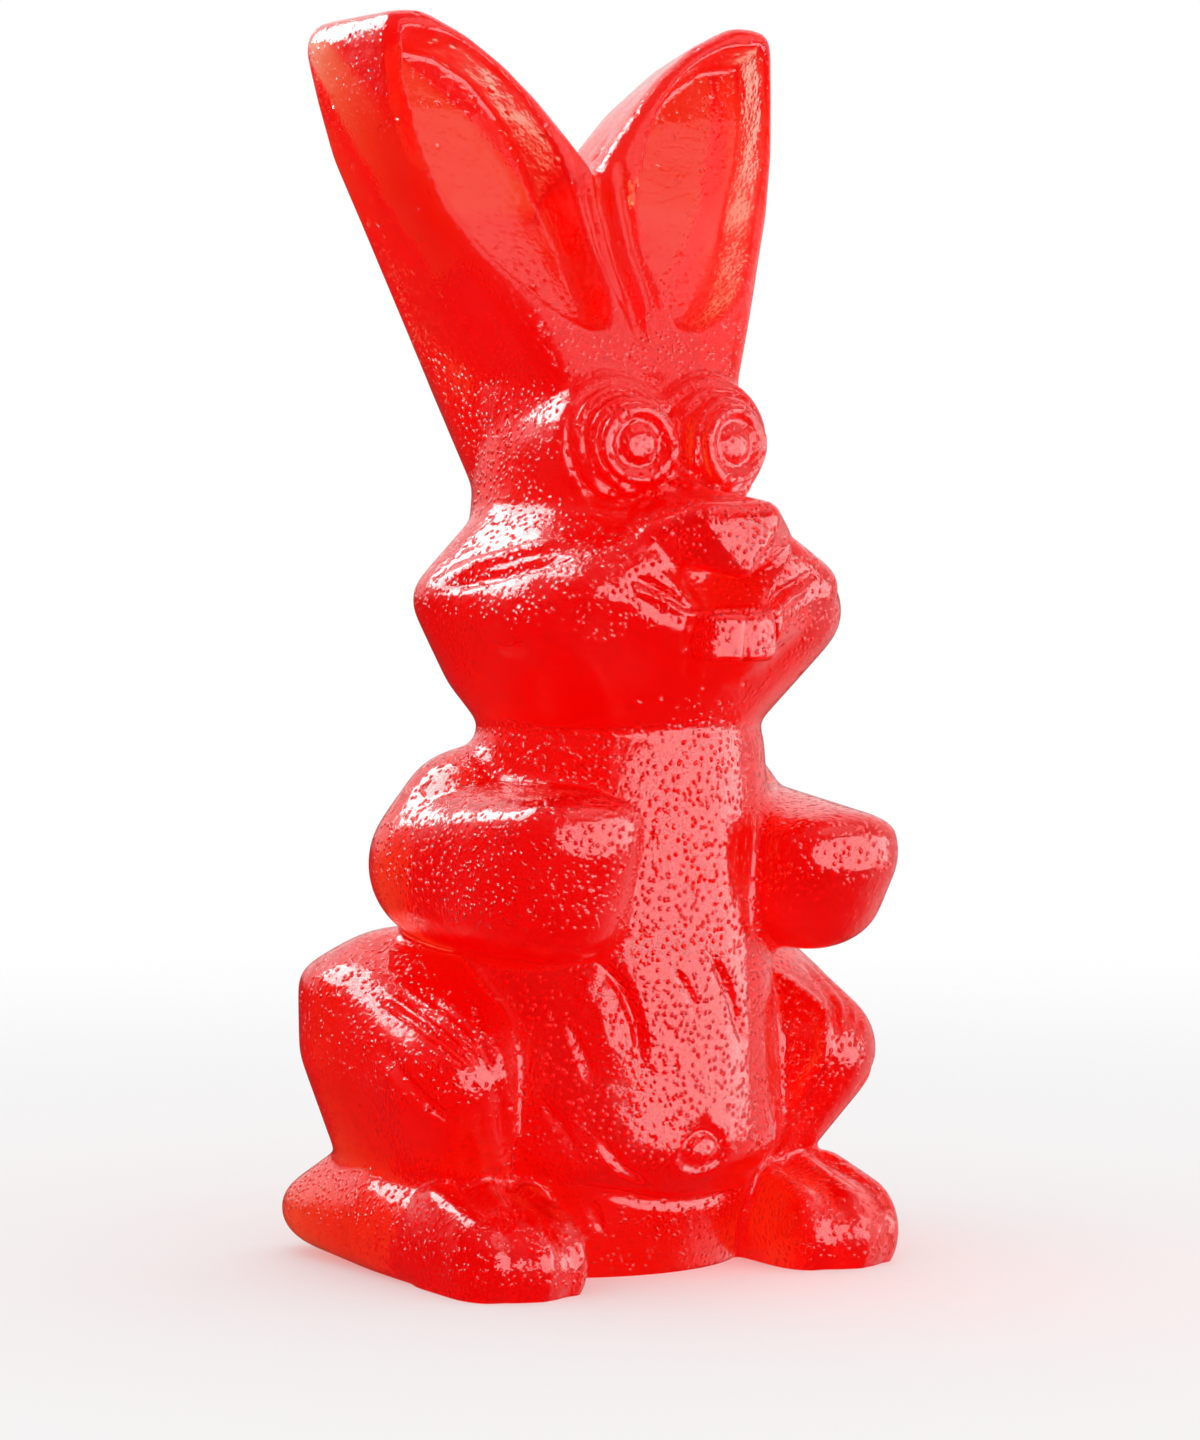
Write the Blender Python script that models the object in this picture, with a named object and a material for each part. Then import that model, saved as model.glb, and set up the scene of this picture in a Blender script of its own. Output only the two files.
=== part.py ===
"""Gummy bunny: a rabbit that sits upright, cast in one piece of red jelly, about a hand long.

Run it with: blender --background --python part.py
Units are metres and +Z is up. The bunny looks along -Y and its right side is at -X.

Its big forms are lumps: each is the convex hull of a few balls, as a clay sculptor would
press them together. The lumps are fused by a voxel remesh and softened, then the ears' hollows
are cut out, the fine lines are drawn into the surface, and the underside is cut flat.
Every measure below is in millimetres and becomes metres through MM.
"""

import math

import bmesh
import bpy
import numpy as np
from mathutils import Euler, Matrix, Vector
from mathutils.bvhtree import BVHTree

MM = 0.001
NODE = "gummy_bunny"

# ---------------------------------------------------------------- driving dimensions (mm)
VOXEL = 0.8                 # grid of the remesh that fuses the lumps
SOFTEN = 12                 # smoothing passes after fusing: the round of every inner corner
CRISP_SOFTEN = 3            # the same for the smaller forms that are added after
TRIANGLES = 11500           # the finished solid
FACE_CARE = 0.0007          # how much the thinning spares the face, which has the finest forms
FACE_WEIGHT = 0.5           # of a point in the face, against 1 for every other point
FACE_BOX = ((-18, -60, 84), (18, -10, 130))     # corners of the room that the face takes up
CENTRE_Y = 2.0              # moves the piece so that its box stands centred on the origin
BALL_SEGMENTS = 32          # round the equator of each ball
STROKE_STEP = 0.4           # between the points that a drawn line is made of
FLOOR_SIZE = 200.0          # edge of the block that cuts the underside flat

NECK_Z = 76.0               # height of the neck's middle
CHEEK_Z = 95.5              # height of the widest line of the head
EYE = (8.1, -23.6, 117.6)   # middle of the face of the eye on the bunny's left
EYE_R = 6.7
EYE_TURN = 9.0              # degrees that each eye looks outwards
NOSE_Z = 105.5              # height of the nose's upper edge
NAVEL = (0.3, -27.2, 18.4)
HOLLOW_DEPTH = 5.0          # of the ears' hollows, below their rims
HOLLOW_INSET = 2.0          # how far the hollows' sides slope in
HOLLOW_MIDDLE = (16.0, 154.0)   # x and z of the middle of a hollow
BROW_R = 9.6                # each brow is a round ridge about its eye
TOES = ((20.3, -19.5), (26.5, -21.5), (32.7, -19))      # x and y of each toe's middle
EAR_EDGE_R = 2.5            # rounding of the ears' front edges
CROWN_BACK_Z = 147.0        # height of the crown's back, where the ears part
EAR_THICKNESS = 18.0        # front to back beside the notch
EAR_BACK_R = 4.0            # rounding of their back edges
EAR_BEND_Z = 151.0          # the ears' faces lean back up to here and stand nearly upright above
EAR_TIP_Z = 176.2           # middle of the rounding at the ears' tips
EAR_HEIGHTS = (126.5, 137, 144, EAR_BEND_Z, 160, 168, EAR_TIP_Z)
EAR_HALF_WIDTHS = (13, 17.5, 22.5, 26.5, 28.7, 29.8, 30.4)
EAR_FACE_Y = (-12, -8.2, -3, 1, 3, 4.8, 5.6)
EAR_BACK_HALF_WIDTHS = (12, 16.5, 20.5, 23.6, 27, 28.4, 28.9)
EAR_BACK_Y = (20, 20.3, 20, 20.5, 22.3, 24.3, 26.5)

RED_JELLY = (0.80, 0.01, 0.015, 1.0)


def clear_scene():
    for thing in list(bpy.data.objects):
        bpy.data.objects.remove(thing)


# ---------------------------------------------------------------- lumps
def ball(centre, radii, turn=(0, 0, 0)):
    """The points of one ball or ellipsoid."""
    if isinstance(radii, (int, float)):
        radii = (radii, radii, radii)
    angles = [math.radians(a) for a in turn]
    size = Matrix.Diagonal((*(r * MM for r in radii), 1.0))
    place = Matrix.Translation(Vector(centre) * MM) @ Euler(angles).to_matrix().to_4x4() @ size
    bm = bmesh.new()
    bmesh.ops.create_uvsphere(bm, u_segments=BALL_SEGMENTS, v_segments=BALL_SEGMENTS // 2,
                              radius=1.0, matrix=place)
    points = [v.co.copy() for v in bm.verts]
    bm.free()
    return points


def lump(balls):
    """The convex hull of some balls, as a closed mesh."""
    bm = bmesh.new()
    for one in balls:
        for point in ball(*one):
            bm.verts.new(point)
    bmesh.ops.convex_hull(bm, input=bm.verts[:])
    inside = [v for v in bm.verts if not v.link_faces]
    bmesh.ops.delete(bm, geom=inside, context="VERTS")
    bmesh.ops.recalc_face_normals(bm, faces=bm.faces[:])
    return bm


def mirrored(balls):
    """The same balls on the bunny's other side."""
    flipped = []
    for centre, radii, *turn in balls:
        x, y, z = centre
        tilt, roll, yaw = turn[0] if turn else (0, 0, 0)
        flipped.append(((-x, y, z), radii, (tilt, -roll, -yaw)))
    return flipped


def pair(balls):
    """A lump on the left and its mirror image on the right."""
    return [lump(balls), lump(mirrored(balls))]


def chain(balls):
    """Lumps between each ball and the next."""
    return [lump(two) for two in zip(balls, balls[1:])]


def bezier(p0, p1, p2, p3, count):
    """Points along a cubic curve, ends included."""
    points = []
    for i in range(count):
        t = i / (count - 1)
        u = 1 - t
        a, b, c, d = u * u * u, 3 * u * u * t, 3 * u * t * t, t * t * t
        points.append(tuple(a * w + b * x + c * y + d * z for w, x, y, z in zip(p0, p1, p2, p3)))
    return points


# ---------------------------------------------------------------- the bunny's forms
def torso():
    seat = lump([((0, 1, 0), (21.5, 17, 9)), ((0, -1, 17), (23.5, 22, 8))])
    belly = ((0, -3, 19), (24.5, 24.5, 10))
    waist = ((0, -4, 40), (23, 22.5, 12))
    chest = ((0, -5, 62), (22, 21.5, 10))
    neck = ((0, -5, NECK_Z), (21, 20.5, 5))
    return [seat] + chain([belly, waist, chest, neck])


def head():
    neck = ((0, -5, NECK_Z + 2.5), (20.5, 20.5, 3.5))
    throat = ((0, -4, NECK_Z + 8.5), (24.5, 24.5, 5))
    cheek = ((19.5, 0, CHEEK_Z), (9.5, 12, 7))
    jowl = ((16, -17, CHEEK_Z - 1.5), (11.5, 13, 9))
    skull = lump([((0, -1, 118), (17.5, 21, 8)), ((0, -3, 100), (20, 23, 8)), neck])
    cheeks = pair([cheek, jowl, ((0, -3, CHEEK_Z), (20, 20, 11)), throat, neck])
    temples = pair([cheek, jowl, ((3, -3, 108), (15, 18, 6))])
    muzzle = pair([((18.3, -27, 97.4), 4), ((11.3, -28.8, 102), 3.5),
                   ((9, -29.3, 97), 4), ((12, -18, 96), (13, 13, 9))])
    jaw = pair([((6, -31.8, 92.5), 3.5), ((14, -26, 93.5), 3.5),
                ((12, -18, 96), (13, 13, 9)), ((0, -7, NECK_Z + 6), (18, 18, 5))])
    return [skull, *cheeks, *temples, *muzzle, *jaw]


def brows():
    x, y, z = EYE
    return pair([((x, y + 7, z + 0.5), (BROW_R, 4.5, BROW_R - 0.5)),
                 ((x, y + 18, z - 2), (BROW_R, 5, BROW_R + 2))])


def eyes():
    """Each eye is a thick disc that looks a little outwards, with a rim round its dish."""
    x, y, z = EYE
    return pair([((x, y + 0.7, z), (EYE_R, 0.7, EYE_R), (0, 0, EYE_TURN)),
                 ((x - 0.6, y + 8, z), (EYE_R, 2, EYE_R), (0, 0, EYE_TURN))])


def nose():
    half = [((10.2, -29.6, NOSE_Z - 0.8), 2.4), ((4.8, -34.8, NOSE_Z + 1.8), 2.6)]
    middle = [((0, -36, 101.2), 2.4), ((0, -21, NOSE_Z + 1.5), (8, 6, 5))]
    return [lump(half + mirrored(half) + middle)]


def teeth():
    return pair([((3.6, -35.6, 93.2), (2.4, 2.4, 2)),
                 ((1.2, -36.2, 93.2), (2.4, 2.4, 2)),
                 ((4.5, -36.6, 88.2), (1.6, 1.0, 0.7)),
                 ((1.3, -37.2, 88.2), (1.6, 1.0, 0.7)),
                 ((2, -27, 91), 3)])


def toes():
    made = []
    for x, y in TOES:
        made += pair([((x, y, 4.5), (3.8, 8, 7.6)), ((x, y + 9, 6), (3.8, 8, 8.6))])
    return made


def mirror_if(flip, balls):
    return mirrored(balls) if flip else balls


def ear_edges():
    """Balls down the front and back outer edges of the ear on the bunny's left."""
    front = [((x, y, z), EAR_EDGE_R)
             for x, y, z in zip(EAR_HALF_WIDTHS, EAR_FACE_Y, EAR_HEIGHTS)]
    back = [((x, y, min(z, EAR_TIP_Z - 1.5)), EAR_BACK_R)
            for x, y, z in zip(EAR_BACK_HALF_WIDTHS, EAR_BACK_Y, EAR_HEIGHTS)]
    return front, back


def upper_ear(flip, back_drop):
    """One ear above the bend of its face; back_drop lowers its back against its front."""
    front, back = ear_edges()
    front = [b for b in front if b[0][2] >= EAR_BEND_Z]
    back = [((x, y, z - back_drop * (z > 165)), r) for (x, y, z), r in back if z >= EAR_BEND_Z]
    inner = bezier((2.2, 1.6, 155), (9, 3, 163.5), (15.5, 5.2, 172.5), (27, 5.6, EAR_TIP_Z + 0.3), 6)
    inner_front = [(p, EAR_EDGE_R) for p in inner]
    inner_back = [((x + 3, y + EAR_THICKNESS, z - 3 - 0.7 * back_drop), EAR_BACK_R)
                  for x, y, z in inner[:-1]]
    root = [((2.5, 0, EAR_BEND_Z), EAR_EDGE_R),
            ((3, EAR_THICKNESS, CROWN_BACK_Z - 2), EAR_BACK_R)]
    return lump(mirror_if(flip, front + back + inner_front + inner_back + root))


def ears():
    front, back = ear_edges()
    low = [b for b in front + back if b[0][2] < EAR_BEND_Z]
    crown = lump(low + mirrored(low))
    parting = pair([front[2], front[3], back[2], back[3],
                    ((2.5, 0, EAR_BEND_Z), EAR_EDGE_R),
                    ((0, EAR_FACE_Y[2], EAR_HEIGHTS[2]), EAR_EDGE_R),
                    ((3, EAR_THICKNESS, CROWN_BACK_Z - 2), EAR_BACK_R),
                    ((0, EAR_THICKNESS, EAR_HEIGHTS[1]), EAR_BACK_R)])
    nape = lump([back[0], back[1], ((0, -1, 106), (15, 19, 6))] + mirrored(back[:2]))
    temples = pair([front[0], back[0], ((13.2, 3, 124.5), (3.8, 9, 4)), ((9, 0, 113), (8, 17, 6))])
    right_ear = upper_ear(True, 0)
    left_ear = upper_ear(False, 4)
    return [crown, nape, *parting, *temples, right_ear, left_ear]


def tail():
    return [lump([((0, 19, 15), (9, 8, 8.5)), ((0, 12, 14), (10, 8, 9))])]


def arm(flip, paw_x, paw_z):
    """An upper arm and a forearm, whose blunt paw leans back from its knuckles down."""
    shoulder = ((18, 2, 66.5), (12, 12, 8.5))
    elbow = ((22.3, 3, 58), (12.5, 13, 12))
    knuckles = ((paw_x, -28.2, paw_z + 1.7), (10, 6, 4))
    fingers = ((paw_x, -28.4, paw_z - 1.7), (10, 6, 4))
    palm = ((21.4, -22.5, 53.1), (11, 8.5, 7.5))
    return [lump(mirror_if(flip, [shoulder, elbow])),
            lump(mirror_if(flip, [elbow, knuckles, fingers, palm]))]


def arms():
    return arm(False, 21.8, 60.2) + arm(True, 20.9, 64.2)


def legs():
    hip = ((24, 13, 39.5), (14.5, 13.5, 9))
    rump = ((23, 12, 40.5), (18.2, 15.8, 6.5))
    haunch = ((23, 12, 31), (18, 16, 8))
    knee = ((31, -8, 29.5), (9.5, 11, 9.5))
    shin = ((23, 3, 13), (9, 14, 7))
    hock = ((24.5, 14, 13), (8.5, 10, 8))
    heel = ((28.5, 23.5, 6.5), (9.5, 11.5, 6.5))
    instep = ((26.4, 17, 11), (8.2, 10, 7.2))
    sole = ((28.5, 6, 8), (9.5, 10, 8.8))
    toes = ((26.5, -19, 4), (9.5, 10, 8))
    return pair([hip, rump, haunch, knee, shin, hock]) + pair([heel, instep, sole, toes])


# ---------------------------------------------------------------- fusing and cutting
def joined(name, lumps):
    """Lumps gathered into one object; their surfaces still pass through each other."""
    gathered = bmesh.new()
    for bm in lumps:
        piece = bpy.data.meshes.new("lump")
        bm.to_mesh(piece)
        bm.free()
        gathered.from_mesh(piece)
        bpy.data.meshes.remove(piece)
    mesh = bpy.data.meshes.new(name)
    gathered.to_mesh(mesh)
    gathered.free()
    thing = bpy.data.objects.new(name, mesh)
    bpy.context.scene.collection.objects.link(thing)
    return thing


def apply_modifiers(thing):
    """Turn an object's evaluated shape into its own mesh."""
    graph = bpy.context.evaluated_depsgraph_get()
    mesh = bpy.data.meshes.new_from_object(thing.evaluated_get(graph))
    thing.modifiers.clear()
    thing.data = mesh


def fuse(thing, passes):
    """One closed skin round everything in the object, its corners softened."""
    skin = thing.modifiers.new("fuse", "REMESH")
    skin.mode = "VOXEL"
    skin.voxel_size = VOXEL * MM
    soft = thing.modifiers.new("soften", "SMOOTH")
    soft.factor = 0.5
    soft.iterations = passes
    apply_modifiers(thing)


def add_crisp(thing, lumps):
    """Join smaller forms to the softened ones and fuse them with a much smaller rounding."""
    extra = joined("crisp", lumps)
    both = bmesh.new()
    both.from_mesh(thing.data)
    both.from_mesh(extra.data)
    both.to_mesh(thing.data)
    both.free()
    bpy.data.objects.remove(extra)
    fuse(thing, CRISP_SOFTEN)


def cut(thing, cutters, solver):
    for cutter in cutters:
        bite = thing.modifiers.new("cut", "BOOLEAN")
        bite.operation = "DIFFERENCE"
        bite.solver = solver
        bite.object = cutter
    apply_modifiers(thing)
    for cutter in cutters:
        bpy.data.objects.remove(cutter)


def ear_hollow(flip):
    """A leaf with sloping sides, deep enough to leave the ear's rim round a sunken floor."""
    outer = bezier((9, -8, 134.5), (20, -6, 138), (31.5, 1, 158), (30, 5, 175.8), 8)
    inner = bezier((30, 5, 175.8), (14, 5.5, 177), (2, 1, 157), (6.2, -8, 134.6), 8)
    balls = []
    for x, y, z in outer + inner:
        to_x, to_z = HOLLOW_MIDDLE[0] - x, HOLLOW_MIDDLE[1] - z
        reach = math.hypot(to_x, to_z)
        inset_x, inset_z = to_x / reach * HOLLOW_INSET, to_z / reach * HOLLOW_INSET
        face = float(np.interp(z, EAR_HEIGHTS, EAR_FACE_Y)) - EAR_EDGE_R
        balls.append(((x + inset_x, face + HOLLOW_DEPTH, z + inset_z - 1), 0.6))
        balls.append(((x - 0.4 * inset_x, face - 2, z - 0.4 * inset_z), 0.6))
    return joined("hollow", [lump(mirror_if(flip, balls))])


# ---------------------------------------------------------------- drawing into the skin
class Skin:
    """The points of a mesh, moved along their normals by strokes and rings."""

    def __init__(self, mesh):
        self.mesh = mesh
        count = len(mesh.vertices)
        self.points = np.empty(count * 3, np.float32)
        mesh.vertices.foreach_get("co", self.points)
        self.points = self.points.reshape(count, 3)
        self.normals = np.empty(count * 3, np.float32)
        mesh.vertices.foreach_get("normal", self.normals)
        self.normals = self.normals.reshape(count, 3)
        self.start = self.points.copy()
        faces = [p.vertices[:] for p in mesh.polygons]
        self.tree = BVHTree.FromPolygons(self.points.tolist(), faces)

    def on_skin(self, place):
        return self.tree.find_nearest(place)[0]

    def line(self, places):
        """Close points along a path, each on the nearest skin."""
        dots = []
        for a, b in zip(places, places[1:]):
            a, b = Vector(a) * MM, Vector(b) * MM
            steps = max(1, round((b - a).length / (STROKE_STEP * MM)))
            dots += [self.on_skin(a.lerp(b, i / steps)) for i in range(steps)]
        dots.append(self.on_skin(Vector(places[-1]) * MM))
        return np.array(dots, np.float32)

    def push(self, dots, strengths, width, depth):
        """Sink the skin by depth along the dots (raise it if negative), fading over width."""
        low, high = dots.min(0) - width, dots.max(0) + width
        near = np.flatnonzero(((self.start > low) & (self.start < high)).all(1))
        if not len(near):
            return
        gaps = np.linalg.norm(self.start[near, None, :] - dots[None, :, :], axis=2)
        closest = gaps.argmin(1)
        fade = np.clip(1 - (gaps.min(1) / width) ** 2, 0, 1) ** 2 * strengths[closest]
        self.points[near] -= self.normals[near] * (fade * depth)[:, None]

    def stroke(self, places, width, depth):
        """A groove (or a ridge, with a negative depth) that tapers at both ends."""
        dots = self.line(places)
        along = np.linspace(0, 1, len(dots))
        taper = np.clip(np.minimum(along, 1 - along) * 4 + 0.25, 0, 1)
        self.push(dots, taper, width * MM, depth * MM)

    def twin_strokes(self, places, width, depth):
        self.stroke(places, width, depth)
        self.stroke([(-x, y, z) for x, y, z in places], width, depth)

    def ring(self, centre, radius, width, depth, turn=0.0):
        """A round groove about a point, seen from the front and turned outwards by some degrees."""
        side = math.copysign(math.radians(turn), centre[0])
        places = []
        for i in range(25):
            angle = math.tau * i / 24
            across = radius * math.cos(angle)
            places.append((centre[0] + across * math.cos(side),
                           centre[1] + across * math.sin(side),
                           centre[2] + radius * math.sin(angle)))
        dots = self.line(places)
        self.push(dots, np.ones(len(dots)), width * MM, depth * MM)

    def dot(self, place, width, depth):
        dots = np.array([self.on_skin(Vector(place) * MM)], np.float32)
        self.push(dots, np.ones(1), width * MM, depth * MM)

    def finish(self):
        self.mesh.vertices.foreach_set("co", self.points.ravel())
        self.mesh.update()


def draw_face(skin):
    """Dished eyes with a bump for the pupil, lids, mouth, teeth and the folds of the cheeks."""
    for side in (1, -1):
        eye = (side * EYE[0], EYE[1], EYE[2])
        skin.ring(eye, EYE_R - 3.5, 1.3, 0.7, EYE_TURN)
        skin.ring(eye, EYE_R - 1.4, 1.4, -0.4, EYE_TURN)
        skin.ring(eye, EYE_R + 0.8, 1.2, 1.3, EYE_TURN)
        skin.dot(eye, 2.8, -0.3)
        skin.ring((eye[0], eye[1] + 5, eye[2] + 1), BROW_R - 0.2, 1.3, 1.0)
    lid = [(14.6, -19, 112.5), (11, -20, 110.2), (5.5, -23, 110), (0.5, -23.5, 111.5)]
    skin.twin_strokes(lid, 1.5, -1.0)
    skin.stroke([(0, -25, 121.5), (0, -26, 117), (0, -27, 112.5)], 1.8, -0.8)
    skin.stroke([(4.8, -35.5, 105), (4.4, -36.5, 102), (3, -36.5, 99.5)], 1.0, 0.6)
    skin.stroke([(-14.5, -33, 99.2), (-10.3, -35, 97.2), (-4.5, -36.5, 96), (0, -37.5, 95.8)], 1.1, 1.3)
    skin.stroke([(15.5, -32, 99.6), (12.5, -34, 98), (7, -36, 96.8), (0, -37.5, 95.8)], 1.1, 1.3)
    skin.twin_strokes([(14.3, -33, 97.9), (10, -35, 96), (4.8, -36.5, 94.6)], 1.2, -0.7)
    skin.twin_strokes([(7, -36, 94.5), (7.2, -34, 90), (6.4, -33, 87.8)], 1.1, 1.2)
    skin.stroke([(0, -37, 94.5), (0, -37, 87)], 0.9, 0.6)
    skin.twin_strokes([(26.5, -4, 100), (23, -14, 102.2), (17.5, -22, 103.6)], 2.0, -0.8)
    skin.twin_strokes([(28, -4, 97.5), (25.5, -15, 99.4), (20.5, -24, 101)], 1.6, 0.8)
    skin.twin_strokes([(26, -13, 89.6), (25.6, -17.5, 88.9), (25, -22, 90.3)], 1.4, 0.7)


def draw_crown(skin):
    """Folds that run down from the notch between the ears."""
    skin.stroke([(0, 2, 157), (-0.5, -5, 146.7), (-1, -12.5, 132.6)], 1.8, 1.6)
    fold = [(3.4, 0, 157.5), (3.2, -2.5, 151), (2.8, -9, 140), (2.2, -12, 134.5)]
    skin.twin_strokes(fold, 1.3, 0.9)
    skin.stroke([(7.5, 9, 161), (5.5, 4, 154), (4.2, -6, 143)], 1.4, 0.9)


def draw_fur(skin):
    """Folds of the chest and belly, and the navel."""
    fold = [(-14, -21.7, 46), (-11, -23.6, 41.8), (-9.3, -24.7, 36.6), (-8.8, -25.1, 32)]
    skin.stroke(fold, 1.5, 1.3)
    skin.stroke([(-17, -20, 44), (-14, -22, 39), (-12.4, -23.4, 31.5)], 2.6, -1.0)
    skin.stroke([(2.2, -26.3, 46), (6, -25.6, 39.5), (7.8, -25.4, 34)], 1.3, 0.9)
    skin.stroke([(-3.7, -26.1, 44), (-1.6, -26.3, 40.8), (-0.6, -26.5, 38)], 1.0, 0.6)
    skin.stroke([(-17.5, -19.3, 37), (-15.8, -20.8, 32.7), (-14.7, -21.7, 29)], 1.3, 0.9)
    skin.stroke([(-20, -16.8, 25.6), (-18.3, -18.8, 22.8), (-16.6, -20.5, 19.4)], 1.2, 0.8)
    skin.stroke([(-13.8, -23.3, 20.4), (-10.8, -23.9, 16.6), (-6, -23.5, 14.2)], 1.4, 1.0)
    skin.stroke([(-13.2, -18.6, 10.9), (-12.2, -18.9, 8.5), (-11.3, -19.3, 6)], 1.2, 0.8)
    overhang = [(-14, -19, 13), (-7, -21.5, 11), (0, -22.3, 10), (7, -21.5, 10), (14, -19, 11)]
    skin.stroke(overhang, 1.8, 0.9)
    skin.ring(NAVEL, 3.2, 1.1, 1.0)
    skin.dot(NAVEL, 2.0, -0.7)


def draw_thighs(skin):
    """A tuft of three lines on each thigh, a groove under it and the ridge down the shin."""
    skin.twin_strokes([(39.5, -6, 34), (38.8, -13.5, 28.6), (34.6, -16.5, 24.2)], 1.5, 1.1)
    for slip in (0, 2.4, 4.8):
        skin.twin_strokes([(37 - slip, -2 - slip / 2, 39.5),
                           (35.5 - slip, -14, 35.5),
                           (31.6 - slip / 2, -19, 31)], 1.1, 0.7)
    skin.twin_strokes([(26, -7.5, 40), (28, -16.5, 36), (27, -18.5, 30), (22, -15, 19)], 1.8, -0.9)


# ---------------------------------------------------------------- the finished piece
def floor_block():
    """Everything below z = 0, to be cut away."""
    bm = bmesh.new()
    size = FLOOR_SIZE * MM
    bmesh.ops.create_cube(bm, size=size, matrix=Matrix.Translation((0, 0, -size / 2)))
    return joined("floor", [bm])


def thin_out(thing, triangles):
    """Merge the points that the shape can do without, fewer of them in the face."""
    plain = thing.vertex_groups.new(name="plain")
    low, high = (np.array(corner) * MM for corner in FACE_BOX)
    for v in thing.data.vertices:
        place = np.array(v.co)
        in_face = ((place > low) & (place < high)).all()
        plain.add([v.index], FACE_WEIGHT if in_face else 1.0, "REPLACE")
    now = sum(len(p.vertices) - 2 for p in thing.data.polygons)
    fewer = thing.modifiers.new("thin out", "DECIMATE")
    fewer.ratio = triangles / now
    fewer.vertex_group = plain.name
    fewer.vertex_group_factor = FACE_CARE
    apply_modifiers(thing)


def jelly():
    material = bpy.data.materials.new("red_jelly")
    material.use_nodes = True
    surface = material.node_tree.nodes["Principled BSDF"]
    surface.inputs["Base Color"].default_value = RED_JELLY
    surface.inputs["Roughness"].default_value = 0.15
    surface.inputs["Metallic"].default_value = 0.0
    return material


def main():
    clear_scene()
    bunny = joined(NODE, torso() + head() + brows() + ears() + arms() + legs() + tail())
    fuse(bunny, SOFTEN)
    add_crisp(bunny, eyes() + nose() + teeth() + toes())
    cut(bunny, [ear_hollow(False), ear_hollow(True)], "EXACT")
    fuse(bunny, CRISP_SOFTEN)
    skin = Skin(bunny.data)
    draw_face(skin)
    draw_crown(skin)
    draw_fur(skin)
    draw_thighs(skin)
    skin.finish()
    bunny.data.transform(Matrix.Translation((0, CENTRE_Y * MM, 0)))
    thin_out(bunny, TRIANGLES)
    cut(bunny, [floor_block()], "EXACT")
    bunny.data.materials.clear()
    bunny.data.materials.append(jelly())
    bunny.data.shade_smooth()
    return bunny


main()
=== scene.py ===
# %% [markdown]
# # A gummy bunny, 18 cm tall, cast in clear red jelly
#
# The real thing is one big sweet: gelatine, sugar syrup and red dye, poured hot into a mould
# and turned out when it has set. It has no parts and no joints. What makes it look like itself
# is the depth of its colour, coral where it is thin and deep red where it is thick, the wet
# gloss, and the fine beads that the mould left all over its skin.
#
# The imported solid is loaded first. It is the fixed frame: our fine skin takes its place and
# never leaves its box.

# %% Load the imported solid
import math

import bmesh
import bpy
import numpy as np
from mathutils import Euler, Matrix, Vector
from mathutils.bvhtree import BVHTree


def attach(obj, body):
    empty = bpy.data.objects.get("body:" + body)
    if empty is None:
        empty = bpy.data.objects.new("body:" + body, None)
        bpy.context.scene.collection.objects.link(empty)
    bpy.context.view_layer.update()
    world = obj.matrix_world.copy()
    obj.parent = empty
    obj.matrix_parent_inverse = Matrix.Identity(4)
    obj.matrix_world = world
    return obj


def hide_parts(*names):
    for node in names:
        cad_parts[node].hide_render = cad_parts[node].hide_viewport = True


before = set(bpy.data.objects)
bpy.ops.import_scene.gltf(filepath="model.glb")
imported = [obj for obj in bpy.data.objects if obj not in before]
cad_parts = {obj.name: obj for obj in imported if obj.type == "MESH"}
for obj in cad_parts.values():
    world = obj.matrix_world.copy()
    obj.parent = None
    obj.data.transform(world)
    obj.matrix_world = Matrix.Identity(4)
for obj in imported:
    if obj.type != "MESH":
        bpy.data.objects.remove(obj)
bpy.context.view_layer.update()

# %% [markdown]
# ## Measures
#
# All forms below are given in millimetres, as a sculptor would measure them, and one factor
# turns them to metres. `FINE` is the grid on which the lumps of clay are melted into one skin.
# A finer grid keeps crisper eyes and teeth, but its cost grows with the square.

# %% Measures that several forms share
MM = 0.001
FINE = 0.5
COARSE = 0.8                # the grid that the smoothing passes were tuned on
SOFTEN = 12                 # passes on that grid, which round every inner corner
CRISP_SOFTEN = 3            # the same for the smaller forms that are added after
MOST_TRIANGLES = 190000
CENTRE_Y = 2.0              # moves the bunny back so that it stands centred on the origin
BALL_SEGMENTS = 32
STROKE_STEP = 0.4           # between the points that a drawn line is made of

NECK_Z = 76.0
CHEEK_Z = 95.5
NOSE_Z = 105.5
EYE = (8.1, -23.6, 117.6)   # middle of the face of the eye on the bunny's left
EYE_R = 6.7
EYE_TURN = 9.0              # degrees that each eye looks outwards
BROW_R = 9.6
NAVEL = (0.3, -27.2, 18.4)

# %% [markdown]
# ## Clay lumps
#
# Every big form of the bunny, such as a cheek, a thigh or an ear, is a lump with a simple
# swelling shape. A sculptor presses balls of clay together and bridges them. The same can be
# done with a convex hull: put a few balls where the form is widest, and stretch a skin over
# them. It is quicker than pushing single points, and each lump is closed whatever the balls.
# The lumps go on two piles, one to be melted softly together and one to stay crisp.

# %% Balls and lumps
def ball(centre, radii, turn=(0, 0, 0)):
    """The points of one ball or ellipsoid, turned by degrees about x, y and z."""
    if isinstance(radii, (int, float)):
        radii = (radii, radii, radii)
    angles = [math.radians(a) for a in turn]
    size = Matrix.Diagonal((*(r * MM for r in radii), 1.0))
    place = Matrix.Translation(Vector(centre) * MM) @ Euler(angles).to_matrix().to_4x4() @ size
    bm = bmesh.new()
    bmesh.ops.create_uvsphere(bm, u_segments=BALL_SEGMENTS, v_segments=BALL_SEGMENTS // 2,
                              radius=1.0, matrix=place)
    points = [v.co.copy() for v in bm.verts]
    bm.free()
    return points


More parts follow.
